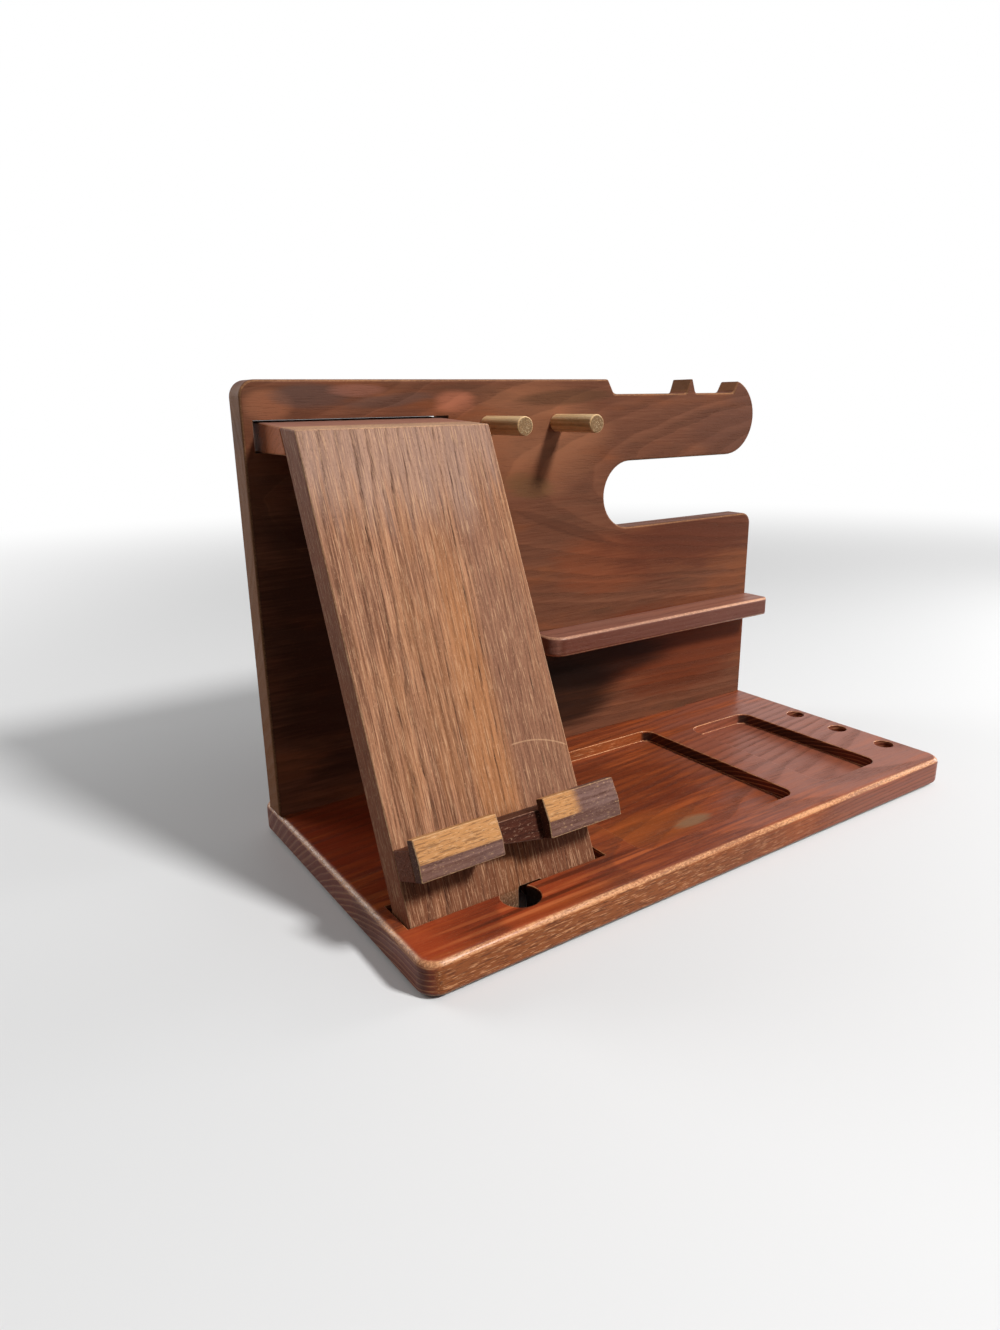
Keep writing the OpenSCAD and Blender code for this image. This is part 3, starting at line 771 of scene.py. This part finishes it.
@dataclass
class BackPanel(Part):
    """Upright panel with the watch arm and notches."""

    node: str = "back_panel"
    round_over: float = 2.0 * MM
    arris: float = 0.65
    notch_floor: float = 1.0
    notch_brow: float = 0.4
    tooth: float = 0.2
    small: float = 0.16
    notch_depth: float = 6.8 * MM
    tooth_range: tuple[float, float] = (86.0 * MM, 95.0 * MM)
    beside_mortise: tuple[float, float] = (4.0 * MM, 2.0 * MM)
    beside_hole: float = 5.0 * MM
    near: float = 0.1 * MM
    finish: WoodFinish = WoodFinish(
        "panel_ash",
        Cut(Side.RIGHT.value, Side.UP.value, Side.BACK.value, heart=(147.0, 96.0), drift=(0.02, -0.20),
            ring=5.5, wave=3.5, ripple=0.3, seed=7.7),
        Stain(pale=linear(128, 82, 60), deep=linear(98, 56, 39), pore=linear(70, 42, 30),
              warm=linear(140, 80, 48), cool=linear(92, 62, 46), worn_and_glint=linear(180, 132, 92)),
        Character(early=0.35, fade=(0.3, 0.95), pores=0.2, fibre=0.35, fine=0.1, speckle=0.08, edge_wear_and_highlight=0.6,
                  end_deep=0.3, shine=0.13),
        (Tint(linear(156, 102, 72), (-10.0, 165.0), (48.0, 24.0), 0.65),
         Tint(linear(136, 72, 44), (38.0, 104.0), (40.0, 16.0), 0.6),
         Tint(linear(108, 76, 48), (-14.0, 146.0), (16.0, 7.0), 0.7, -0.15),
         Tint(linear(92, 62, 42), (12.0, 184.0), (30.0, 3.5), 0.7, 0.05),
         Tint(linear(84, 50, 36), (8.0, 124.0), (34.0, 3.0), 0.6, -0.35),
         Tint(linear(166, 106, 76), (-134.0, 182.0), (10.0, 7.0), 0.6),
         Tint(linear(94, 74, 68), (-116.0, 186.0), (17.0, 5.0), 0.6),
         Tint(linear(160, 106, 88), (-96.0, 188.0), (14.0, 3.0), 0.6),
         Tint(linear(98, 72, 62), (-80.0, 184.0), (24.0, 3.0), 0.7, 0.08),
         Tint(linear(182, 112, 84), (-52.0, 182.0), (12.0, 6.0), 0.7),
         Tint(linear(100, 62, 47), (124.0, 165.0), (34.0, 30.0), 0.6),
         Tint(linear(110, 56, 38), (90.0, 108.0), (60.0, 16.0), 0.6),
         Tint(linear(110, 50, 26), (90.0, 50.0), (70.0, 30.0), 0.8),
         Tint(linear(92, 48, 32), (100.0, 112.0), (70.0, 24.0), 0.75),
         # Painted shade: the panel's front darkened behind the leaning plate.
         Tint(linear(46, 24, 18), (-104.0, 84.0), (48.0, 76.0), 0.8, span=(0.0, 53.0))),
        # Painted light: the left edge set lighter and warmer for the light that falls on it.
        (Facet(linear(152, 104, 70), Side.LEFT.value, 0.6, 0.9, share=0.8),),
        # Painted shade: near-black inside the mortise, and a dark wedge under the left half of the shelf.
        painted_shades=(Tint(linear(16, 8, 6), (-97.5, 172.0), (52.0, 16.0), 0.97, 0.0, 0.0, (52.3, 64.6)),
                Tint(linear(18, 8, 5), (26.0, 52.0), (64.0, 14.0), 0.8, 0.0, 0.3, (0.0, 53.0)),
                Tint(linear(18, 8, 5), (8.0, 38.0), (42.0, 21.0), 0.8, 0.0, 0.3, (0.0, 53.0))))

    def dress(self, nodes: Nodes) -> list[bpy.types.Object]:
        """Round the outline's arrises and give the board its finish."""
        return [self.finished(nodes[self.node], Softener(self.round_over, self._rule(nodes)), self.finish)]

    def _rule(self, nodes: Nodes) -> EdgeRule:
        """Work out how much of the width each edge of the panel gets.

        Args:
            nodes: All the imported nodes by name.

        Returns:
            A function of an edge's two ends that gives its share.
        """
        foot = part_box("base_board")[1].z
        low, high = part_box(self.node)
        block_low, block_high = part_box("head_block")
        carried = [name for name in nodes if "peg" in name or "shelf_dowel" in name]
        holes = [sum(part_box(name), Vector()) / 2 for name in carried]
        room, above, near = *self.beside_mortise, self.near

        def share(start: Vector, end: Vector) -> float:
            """Give the share of one edge.

            Args:
                start: One end of the edge.
                end: The other end.

            Returns:
                The share.
            """
            middle = (start + end) / 2
            on_face = any(abs(start.y - y) < near and abs(end.y - y) < near for y in (low.y, high.y))
            through = math.hypot(start.x - end.x, start.z - end.z) < near
            inner = (block_low.x - room < middle.x < block_high.x + room
                     and block_low.z - above < middle.z < block_high.z + above)
            hole = any(math.hypot(middle.x - c.x, middle.z - c.z) < self.beside_hole for c in holes)
            notch = high.z - self.notch_depth
            if max(start.z, end.z) < foot + near or min(start.z, end.z) < foot - near or inner or hole:
                return self.small
            if self.tooth_range[0] < middle.x < self.tooth_range[1] and middle.z > notch + near:
                return self.tooth
            if through:
                return self.notch_floor if abs(middle.z - notch) < near else self.notch_brow
            return self.arris if on_face else self.small

        return share


@dataclass
class PhoneRest(Part):
    """Leaning plate, its head block, and the ledge with its two lips."""

    lean: float = math.radians(23.4)
    plate_arris: float = 0.7 * MM
    ledge_arris: float = 0.55 * MM
    sharp: float = math.radians(10)
    gold: Colour = linear(200, 142, 88)
    lip_tilt: float = math.radians(7.55)
    brow_tilt: float = math.radians(60)

    def axes(self) -> tuple[Triple, Triple, Triple]:
        """Give the plate's axes: up its slope, to the right, and from its face into the board."""
        rise, run = math.cos(self.lean), math.sin(self.lean)
        return (0.0, run, rise), (1.0, 0.0, 0.0), (0.0, rise, -run)

    def tilted(self, angle: float) -> Triple:
        """Give the direction out of the plate's face, turned up by an angle."""
        slope, _, inward = self.axes()
        return tuple(math.sin(angle) * up - math.cos(angle) * deep for up, deep in zip(slope, inward))

    def finishes(self) -> dict[str, WoodFinish]:
        """List the finishes of the rest's pieces.

        Returns:
            The finishes by node.
        """
        slope, right, inward = self.axes()
        plate = WoodFinish(
            "plate_ash",
            Cut(slope, right, inward, heart=(-152.0, 46.0), drift=(0.035, -0.01), ring=6.8, crowd=0.02,
                uneven=0.9, wave=1.4, ripple=0.5, dash=14.0, seed=1.3),
            Stain(pale=linear(188, 134, 100), deep=linear(118, 75, 53), pore=linear(68, 40, 30),
                  warm=linear(178, 120, 76), cool=linear(138, 94, 70), worn_and_glint=linear(220, 174, 134)),
            Character(early=0.55, fade=(0.12, 0.62), pores=0.9, fibre=0.8, fine=0.6, glint=0.45, warm=0.3,
                      cool=0.3, speckle=0.5, edge_wear_and_highlight=0.8, broken=0.6, rough=0.48, shine=0.16, relief=1.4),
            (Tint(linear(184, 122, 76), (50.0, -92.0), (90.0, 10.0), 0.65),
             Tint(linear(142, 98, 76), (60.0, -68.0), (110.0, 18.0), 0.7),
             # Painted sheen: the top left of the face paler and greyer.
             Tint(linear(176, 142, 124), (168.0, -100.0), (44.0, 60.0), 0.6),
             # Painted shade: the face darker below the ledge.
             Tint(linear(108, 62, 40), (-2.0, -92.0), (22.0, 60.0), 0.75),
             # Painted shade: the foot dark where it stands inside the cable hole.
             Tint(linear(56, 32, 24), (-22.0, -97.0), (12.0, 80.0), 0.9, ragged=0.2)),
            # Painted shade: the left-facing side set darker and warmer.
            (Facet(linear(144, 82, 56), Side.LEFT.value, 0.6, 0.9, share=0.85, cracks=0.4),),
            (Scratch((1.5, -78.4), 41.0, (-83.0, -57.0)),))
        head = WoodFinish(
            "head_ash",
            Cut(Side.RIGHT.value, Side.BACK.value, Side.UP.value, heart=(20.0, 140.0), wave=1.0, seed=5.9),
            Stain(pale=linear(178, 120, 92), deep=linear(156, 100, 74), pore=linear(100, 60, 46),
                  warm=linear(178, 110, 72), cool=linear(138, 94, 74), worn_and_glint=linear(206, 154, 118)),
            Character(early=0.4, end_deep=0.15, shine=0.12), (),
            # Painted light: the left end set brighter and warmer.
            (Facet(linear(212, 122, 78), Side.LEFT.value, 0.6, 0.9),
             # Painted sheen: the top set pale and greyish.
             Facet(linear(152, 110, 98), Side.UP.value, 0.9, 0.99, share=0.8)))
        bar = WoodFinish(
            "bar_ash",
            Cut(right, slope, inward, heart=(60.0, -30.0), ring=2.0, wave=0.8, seed=9.2),
            Stain(pale=linear(90, 48, 34), deep=linear(60, 30, 22), pore=linear(38, 20, 16),
                  warm=linear(104, 58, 40), cool=linear(84, 54, 46), worn_and_glint=linear(176, 136, 112)),
            Character(early=0.4, pores=0.6, speckle=0.75, edge_wear_and_highlight=0.6, shine=0.12), (),
            # Painted light: the bar's left end set lighter and warmer.
            (Facet(linear(128, 70, 48), Side.LEFT.value, 0.6, 0.9, share=0.8, cracks=0.6),))
        upper, brow = (self.tilted(angle) for angle in (self.lip_tilt, self.brow_tilt))
        lips = [
            WoodFinish(
                "lip_ash_" + name,
                Cut(right, slope, inward, heart=(55.0, -34.0), ring=1.7, wave=0.6, seed=seed),
                # Painted sheen: the pale lilac-grey in the stain stands for a sheen over dark wood.
                Stain(pale=linear(142, 108, 98), deep=linear(84, 52, 42), pore=linear(72, 44, 36),
                      warm=linear(132, 92, 76), cool=linear(132, 104, 98), worn_and_glint=linear(226, 182, 136)),
                Character(early=0.3, pores=0.5, fibre=0.3, fine=0.2, speckle=0.6, edge_wear_and_highlight=0.8, end_deep=0.95,
                          shine=0.12), (),
                # Gold on the upper faces, only left of a reach on the right lip; the gold along the top
                # edges is a painted highlight.
                (Facet(self.gold, upper, 0.968, 0.992, left_of=reach, soft=2.5, share=1.0, cracks=0.55),
                 Facet(self.gold, brow, 0.5, 0.66, left_of=reach, soft=2.5, share=1.0, cracks=0.3)))
            for name, reach, seed in (("left", 1000.0, 4.4), ("right", -72.5, 6.1))]
        return {"phone_plate": plate, "head_block": head, "ledge_bar": bar,
                "lip_left": lips[0], "lip_right": lips[1]}

    def dress(self, nodes: Nodes) -> list[bpy.types.Object]:
        """Soften the rest's pieces and give them their finishes.

        Args:
            nodes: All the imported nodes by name.

        Returns:
            The pieces that were dressed.
        """
        pieces = []
        for name, finish in self.finishes().items():
            width = self.plate_arris if name in ("phone_plate", "head_block") else self.ledge_arris
            pieces.append(self.finished(nodes[name], Softener(width, sharp=self.sharp), finish))
        return pieces


@dataclass
class Shelf(Part):
    """Narrow shelf on the panel."""

    node: str = "shelf"
    rim: float = 0.4 * MM
    finish: WoodFinish = WoodFinish(
        "shelf_ash",
        Cut(Side.RIGHT.value, Side.BACK.value, Side.UP.value, heart=(30.0, 40.0), ring=3.0, wave=1.2,
            seed=6.3),
        # Painted sheen: the pale pinkish stain lights up the top and ends; the front facet keeps a darker
        # colour.
        Stain(pale=linear(152, 102, 84), deep=linear(126, 80, 66), pore=linear(88, 54, 42),
              warm=linear(152, 96, 74), cool=linear(132, 92, 78), worn_and_glint=linear(222, 168, 134)),
        Character(early=0.3, pores=0.25, fine=0.1, speckle=0.12, edge_wear_and_highlight=0.9, shine=0.5, bend=1.34), (),
        (Facet(linear(90, 40, 22), Side.FRONT.value, share=1.0),))

    def dress(self, nodes: Nodes) -> list[bpy.types.Object]:
        """Soften the shelf's ends and give it its finish."""
        return [self.finished(nodes[self.node], Softener(self.rim), self.finish)]


@dataclass
class Pegs(Part):
    """The two bare pegs and the hidden dowels."""

    pegs: tuple[str, ...] = ("peg_left", "peg_right")

    def dress(self, nodes: Nodes) -> list[bpy.types.Object]:
        """Give pegs and dowels their finishes.

        Args:
            nodes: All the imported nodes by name.

        Returns:
            The pieces that were dressed.
        """
        ways = (Side.BACK.value, Side.RIGHT.value, Side.UP.value)
        peg = WoodFinish(
            "bare_peg",
            Cut(*ways, heart=(-20.0, 160.0), ring=1.2, wave=0.4, seed=2.2),
            Stain(pale=linear(252, 214, 162), deep=linear(220, 174, 120), pore=linear(140, 98, 62),
                  warm=linear(246, 200, 140), cool=linear(206, 162, 114), worn_and_glint=linear(255, 228, 184)),
            Character(early=0.35, pores=0.35, speckle=0.2, edge_wear_and_highlight=0.3, end_deep=0.2), (),
            # End faces darker: partly end grain, partly painted shade.
            (Facet(linear(104, 78, 54), Side.FRONT.value, share=1.0, cracks=0.5),)).build()
        beech = WoodFinish(
            "beech_dowel",
            Cut(*ways, heart=(10.0, 40.0), ring=1.6, wave=0.4, seed=8.8),
            Stain(pale=linear(216, 180, 140), deep=linear(196, 156, 114), pore=linear(164, 120, 84),
                  warm=linear(220, 184, 140), cool=linear(190, 156, 120), worn_and_glint=linear(226, 196, 160)),
            Character(early=0.4, pores=0.5, edge_wear_and_highlight=0.2)).build()
        pieces = []
        for name, piece in nodes.items():
            if name in self.pegs or "dowel" in name:
                give(piece, peg if name in self.pegs else beech)
                pieces.append(piece)
        return pieces


@dataclass
class Pads(Part):
    """Felt pads under the base."""

    mark: str = "foot_pad"

    def dress(self, nodes: Nodes) -> list[bpy.types.Object]:
        """Give the pads their felt.

        Args:
            nodes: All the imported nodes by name.

        Returns:
            The pieces that were dressed.
        """
        felt = FeltFinish().build()
        pieces = [piece for name, piece in nodes.items() if name.startswith(self.mark)]
        for piece in pieces:
            give(piece, felt)
        return pieces


@dataclass(frozen=True)
class Lamp:
    """A soft round lamp: its direction, its distance and size in metres, and its level on a surface."""

    name: str
    direction: Triple
    distance: float
    size: float
    level: float


@dataclass
class Studio:
    """Floor, lamps, backdrop and camera."""

    floor_size: float = 8.0
    floor_seen: float = 0.80
    floor_bounce: float = 0.10
    floor_ends: tuple[float, float] = (0.45, 1.30)
    floor_rough: float = 0.6
    floor_shine: float = 0.1
    lamps: tuple[Lamp, ...] = (Lamp("key_lamp", (0.26, -0.68, 0.74), 1.5, 0.24, 0.96),
                               Lamp("window_lamp", (0.93, -0.26, 0.26), 0.8, 0.30, 0.26),
                               Lamp("back_lamp", (-0.56, 0.72, 0.40), 1.2, 0.60, 0.30))
    bright_side: Triple = (0.72, 0.10, 0.68)
    bright_turn: tuple[float, float] = (-0.5, 0.8)
    ambient: tuple[float, float] = (0.015, 0.26)
    camera_place: Triple = (-251.93, -281.13, 182.86)
    camera_yaw: float = 0.587
    camera_pitch: float = 0.295
    camera_roll: float = 0.016
    focal_pixels: float = 869.0
    picture_height: float = 1330.0
    sensor: float = 36.0

    def build(self) -> None:
        """Build the floor, the light and the camera."""
        self._floor()
        self._world()
        for lamp in self.lamps:
            self._lamp(lamp)
        self._camera()

    @staticmethod
    def _shows(graph: Graph) -> Wire:
        """Mark the rays that should find a pale backdrop: seen, mirrored or let through.

        Args:
            graph: The nodes of a material or the world.

        Returns:
            1 for such a ray, otherwise 0.
        """
        names = ("Is Camera Ray", "Is Glossy Ray", "Is Transmission Ray")
        seen, mirrored, through = (graph.node("ShaderNodeLightPath", {}, {}, name) for name in names)
        return graph.maths("MAXIMUM", seen, graph.maths("MAXIMUM", mirrored, through))

    def _floor(self) -> None:
        """Lay a plain floor that is seen pale and throws little light back up."""
        half = self.floor_size / 2
        mesh = bpy.data.meshes.new("floor")
        outline = [(-half, -half, 0), (half, -half, 0), (half, half, 0), (-half, half, 0)]
        mesh.from_pydata(outline, [], [(0, 1, 2, 3)])
        floor = bpy.data.objects.new("floor", mesh)
        bpy.context.scene.collection.objects.link(floor)
        material = bpy.data.materials.new("floor")
        material.use_nodes = True
        graph = Graph(material.node_tree)
        dark, pale = ((level, level, level, 1.0) for level in (self.floor_bounce, self.floor_seen))
        shows = self._shows(graph)
        shader = graph.node("ShaderNodeBsdfPrincipled", {}, {
            "Base Color": graph.blend(shows, dark, pale), "Roughness": self.floor_rough,
            "Specular IOR Level": self.floor_shine})
        white = graph.node("ShaderNodeEmission", {}, {"Color": WHITE, "Strength": 1.0})
        place = graph.node("ShaderNodeTexCoord", {}, {}, "Object")
        away = graph.node("ShaderNodeVectorMath", {"operation": "LENGTH"}, {0: place}, "Value")
        far = graph.step(away, *self.floor_ends) * shows
        both = graph.node("ShaderNodeMixShader", {}, {0: far, 1: shader, 2: white})
        graph.node("ShaderNodeOutputMaterial", {}, {"Surface": both})
        give(floor, material)

    def _world(self) -> None:
        """Light from all round, most from the right and above; the backdrop itself is white."""
        world = bpy.data.worlds.new("studio")
        bpy.context.scene.world = world
        world.use_nodes = True
        graph = Graph(world.node_tree)
        way = graph.node("ShaderNodeTexCoord", {}, {}, "Generated")
        side = graph.step(graph.dot(way, self.bright_side), *self.bright_turn)
        dim, bright, seen = (graph.node("ShaderNodeBackground", {}, {"Color": WHITE, "Strength": level})
                             for level in (*self.ambient, 1.0))
        soft = graph.node("ShaderNodeMixShader", {}, {0: side, 1: dim, 2: bright})
        both = graph.node("ShaderNodeMixShader", {}, {0: self._shows(graph), 1: soft, 2: seen})
        graph.node("ShaderNodeOutputWorld", {}, {"Surface": both})

    @staticmethod
    def _lamp(lamp: Lamp) -> None:
        """Hang one lamp so that it looks at the object.

        Args:
            lamp: The lamp.
        """
        data = bpy.data.lights.new(lamp.name, "AREA")
        data.shape = "DISK"
        data.size = lamp.size
        data.energy = lamp.level * math.pi ** 2 * lamp.distance ** 2
        made = bpy.data.objects.new(lamp.name, data)
        towards = Vector(lamp.direction).normalized()
        made.location = towards * lamp.distance
        made.rotation_mode = "QUATERNION"
        made.rotation_quaternion = towards.to_track_quat("Z", "Y")
        made.visible_camera = False
        bpy.context.scene.collection.objects.link(made)

    def _camera(self) -> None:
        """Stand the camera where the photograph was taken."""
        yaw, pitch, roll = self.camera_yaw, self.camera_pitch, self.camera_roll
        ahead = Vector((math.sin(yaw) * math.cos(pitch), math.cos(yaw) * math.cos(pitch),
                        -math.sin(pitch)))
        right = Vector((math.cos(yaw), -math.sin(yaw), 0))
        down = ahead.cross(right)
        turned_right = right * math.cos(roll) + down * math.sin(roll)
        turned_down = down * math.cos(roll) - right * math.sin(roll)
        data = bpy.data.cameras.new("camera")
        data.sensor_width = self.sensor
        data.lens = self.focal_pixels / self.picture_height * self.sensor
        camera = bpy.data.objects.new("camera", data)
        axes = Matrix((turned_right, -turned_down, -ahead)).transposed().to_4x4()
        camera.matrix_world = Matrix.Translation(Vector(self.camera_place) * MM) @ axes
        bpy.context.scene.collection.objects.link(camera)
        bpy.context.scene.camera = camera


def give(piece: bpy.types.Object, material: bpy.types.Material) -> None:
    """Put one material on the whole of a piece.

    Args:
        piece: The piece.
        material: Its material.
    """
    if not piece.material_slots:
        piece.data.materials.append(material)
    for slot in piece.material_slots:
        slot.material = material


def main() -> None:
    """Build the studio, dress every piece and report it."""
    logging.basicConfig(level=logging.INFO, format="%(name)s: %(message)s")
    bpy.context.scene.view_settings.view_transform = "Standard"
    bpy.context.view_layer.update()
    Studio().build()
    for part in (BaseBoard(), BackPanel(), PhoneRest(), Shelf(), Pegs(), Pads()):
        for piece in part.dress(frame["nodes"]):
            finish = piece.material_slots[0].material.name
            LOG.info("%s: %s finished as %s", type(part).__name__, piece.name, finish)
    bpy.context.view_layer.update()


if __name__ == "__main__":
    main()
